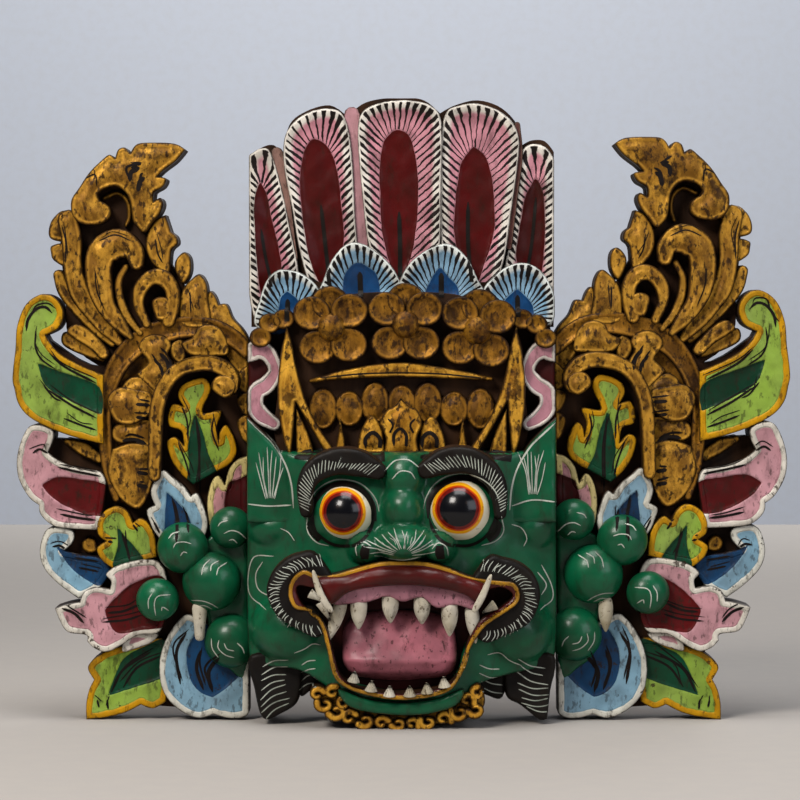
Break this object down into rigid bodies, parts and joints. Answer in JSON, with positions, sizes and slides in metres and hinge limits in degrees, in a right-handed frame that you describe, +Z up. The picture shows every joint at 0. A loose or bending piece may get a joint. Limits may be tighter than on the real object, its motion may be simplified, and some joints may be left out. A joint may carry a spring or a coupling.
{
  "type": "carved wall mask",
  "caption": "Carved and painted wooden barong mask with a feathered crown, bulging eyes, an open fanged mouth and two gilded wings.",
  "frame": {"origin": "middle of the foot, halfway between the back plane and the tip of the nose, on the surface that the mask stands on", "axes": "+Z up, +X to the mask's left-hand side as the viewer sees the right wing, -Y the way the face looks"},
  "size_m": [0.5029, 0.104, 0.4033],
  "materials": {
    "painted_wood": "gloss paint in green, pink, red, blue and gold",
    "gilded_wood": "worn gold paint with painted leaves",
    "tooth_bone": "ivory paint with fine cracks"
  },
  "bodies": {
    "root": {"mask": "painted_wood", "left_wing": "gilded_wood", "right_wing": "gilded_wood", "upper_fang_1": "tooth_bone", "upper_fang_2": "tooth_bone", "upper_fang_3": "tooth_bone", "upper_fang_4": "tooth_bone", "corner_fang_left": "tooth_bone", "corner_fang_right": "tooth_bone", "tusk_left": "tooth_bone", "tusk_right": "tooth_bone", "claw_left": "tooth_bone", "claw_right": "tooth_bone"}
  },
  "joints": []
}
